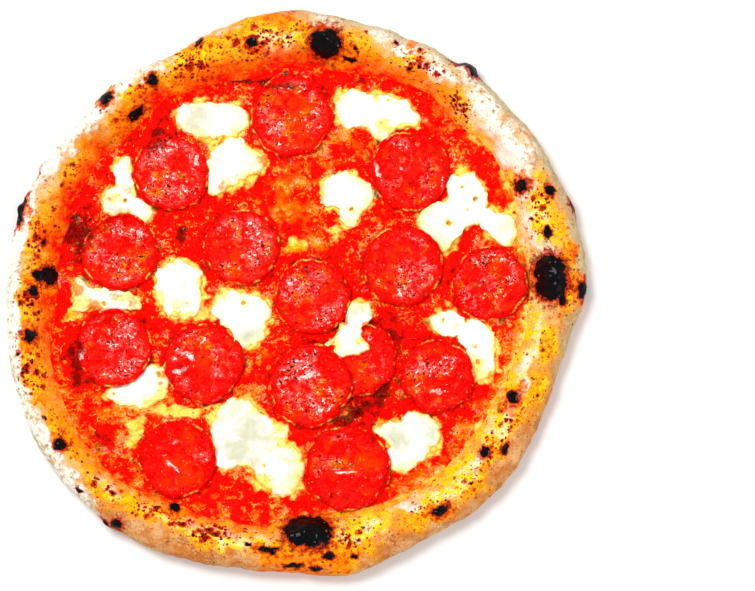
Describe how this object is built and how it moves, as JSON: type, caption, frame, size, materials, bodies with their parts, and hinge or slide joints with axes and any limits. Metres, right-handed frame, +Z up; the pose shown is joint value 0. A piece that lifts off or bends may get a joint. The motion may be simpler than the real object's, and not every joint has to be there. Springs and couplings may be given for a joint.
{
  "type": "margherita pizza with salami",
  "caption": "Whole round pizza with a puffed charred rim, tomato sauce, melted mozzarella patches and round salami slices.",
  "frame": {"origin": "centre of the flat underside", "axes": "+Z up, +Y towards the top of the pizza as the picture shows it from above, +X to its right"},
  "size_m": [0.321, 0.3128, 0.0215],
  "materials": {
    "baked_dough": "matte baked crust, golden with cream and floury patches and black char spots",
    "tomato": "wet oily tomato sauce",
    "mozzarella": "smooth melted cheese with an oily yellow edge",
    "salami": "oily red cured sausage with pale fat specks"
  },
  "bodies": {
    "root": {"dough": "baked_dough", "mozzarella_01": "mozzarella", "mozzarella_02": "mozzarella", "mozzarella_03": "mozzarella", "mozzarella_04": "mozzarella", "mozzarella_05": "mozzarella", "mozzarella_06": "mozzarella", "mozzarella_07": "mozzarella", "mozzarella_08": "mozzarella", "mozzarella_09": "mozzarella", "mozzarella_10": "mozzarella", "mozzarella_11": "mozzarella", "mozzarella_12": "mozzarella", "mozzarella_13": "mozzarella", "mozzarella_14": "mozzarella", "salami_01": "salami", "salami_02": "salami", "salami_03": "salami", "salami_04": "salami", "salami_05": "salami", "salami_06": "salami", "salami_07": "salami", "salami_08": "salami", "salami_09": "salami", "salami_10": "salami", "salami_11": "salami", "salami_12": "salami", "salami_13": "salami", "salami_14": "salami", "salami_15": "salami", "tomato_sauce": "tomato"}
  },
  "joints": []
}
